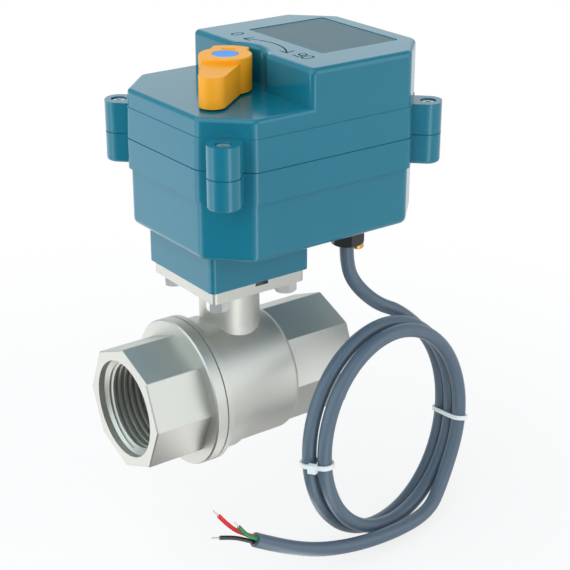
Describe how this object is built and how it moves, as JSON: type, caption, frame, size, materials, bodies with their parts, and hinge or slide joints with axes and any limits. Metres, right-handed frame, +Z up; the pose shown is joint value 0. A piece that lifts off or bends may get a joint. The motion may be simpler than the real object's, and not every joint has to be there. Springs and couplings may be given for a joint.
{
  "type": "motorized ball valve",
  "caption": "Inline ball valve with internal pipe threads, turned by a boxy electric actuator with a hand lever, and a coiled supply cable.",
  "frame": {"origin": "on the pipe axis at the start of the inlet's internal thread, 4.3 mm inside the inlet mouth", "axes": "+X along the pipe from inlet to outlet, +Z up the stem to the actuator, +Y away from the side that the supply cable hangs on"},
  "size_m": [0.1216, 0.0954, 0.1716],
  "materials": {
    "housing_plastic": "satin moulded plastic",
    "lever_plastic": "satin moulded plastic",
    "cap_plastic": "satin moulded plastic",
    "nickel_plate": "satin nickel plate over brass",
    "chrome_plate": "polished chrome plate",
    "seat_polymer": "waxy white fluoropolymer",
    "seal_rubber": "matt black rubber",
    "bright_steel": "bright zinc plate",
    "shaft_steel": "ground steel",
    "bare_brass": "bare brass",
    "gear_polymer": "natural acetal",
    "plate_grey": "dark satin plate with nothing printed on it",
    "black_plastic": "matt black polyamide",
    "button_plastic": "glossy red plastic",
    "board_laminate": "green lacquered laminate",
    "cable_sheath": "satin soft plastic sheath",
    "tie_nylon": "natural white nylon",
    "red_insulation": "red wire insulation",
    "green_insulation": "green wire insulation",
    "black_insulation": "black wire insulation"
  },
  "bodies": {
    "root": {"actuator_base": "housing_plastic", "actuator_cover": "housing_plastic", "black_wire": "black_insulation", "board_components": "black_plastic", "body_seal": "seat_polymer", "cable_coil": "cable_sheath", "cable_lead": "cable_sheath", "cable_stub": "cable_sheath", "cable_tail": "cable_sheath", "cable_ties": "tie_nylon", "circuit_board": "board_laminate", "closed_limit_switch": "black_plastic", "cover_gasket": "seal_rubber", "cover_screws": "bright_steel", "earth_screw": "bare_brass", "frame_spacers": "bright_steel", "gland_body": "black_plastic", "gland_lock_nut": "black_plastic", "gland_nut": "black_plastic", "gland_seal": "seal_rubber", "green_wire": "green_insulation", "inlet_connector": "nickel_plate", "inlet_seat": "seat_polymer", "inner_screws": "bright_steel", "inner_wires": "red_insulation", "intermediate_axle": "shaft_steel", "lower_gear_plate": "bright_steel", "motor": "bright_steel", "motor_gearbox": "bright_steel", "mounting_bolts": "bright_steel", "mounting_inserts": "bare_brass", "name_plate": "plate_grey", "open_limit_switch": "black_plastic", "outlet_seat": "seat_polymer", "red_wire": "red_insulation", "shaft_bushes": "bare_brass", "shaft_seal": "seal_rubber", "stem_thrust_washer": "seat_polymer", "upper_gear_plate": "bright_steel", "valve_body": "nickel_plate"},
    "drive": {"ball": "chrome_plate", "stem": "shaft_steel", "stem_seal_rings": "seal_rubber", "output_shaft": "shaft_steel", "sector_gear": "shaft_steel", "limit_cam": "gear_polymer", "shaft_clip": "shaft_steel", "lever": "lever_plastic", "lever_cap": "cap_plastic", "lever_screw": "bright_steel", "neck_seal_ring": "seal_rubber"},
    "idler": {"intermediate_gear": "gear_polymer"},
    "motor_output": {"motor_pinion": "shaft_steel", "motor_shaft": "shaft_steel"},
    "open_button": {"open_switch_button": "button_plastic"},
    "closed_button": {"closed_switch_button": "button_plastic"}
  },
  "joints": [
    {"name": "valve_turn", "type": "hinge", "parent": "root", "child": "drive", "pos_m": [0.0397, 0, 0], "axis": [0, 0, -1], "range_deg": [0, 90]},
    {"name": "idler_turn", "type": "hinge", "parent": "root", "child": "idler", "pos_m": [0.0657, 0, 0], "axis": [0, 0, -1], "range_deg": [-300, 0]},
    {"name": "motor_turn", "type": "hinge", "parent": "root", "child": "motor_output", "pos_m": [0.0849, 0, 0], "axis": [0, 0, -1], "range_deg": [0, 900]},
    {"name": "open_button_press", "type": "slide", "parent": "root", "child": "open_button", "axis": [1, 0, 0], "range_m": [0, 0.0005], "stiffness_N_per_m": 100},
    {"name": "closed_button_press", "type": "slide", "parent": "root", "child": "closed_button", "axis": [0, -1, 0], "range_m": [0, 0.0005], "stiffness_N_per_m": 100}
  ],
  "couplings": [
    {"joint": "idler_turn", "follows": "valve_turn", "ratio": -3.3333},
    {"joint": "motor_turn", "follows": "valve_turn", "ratio": 10}
  ]
}
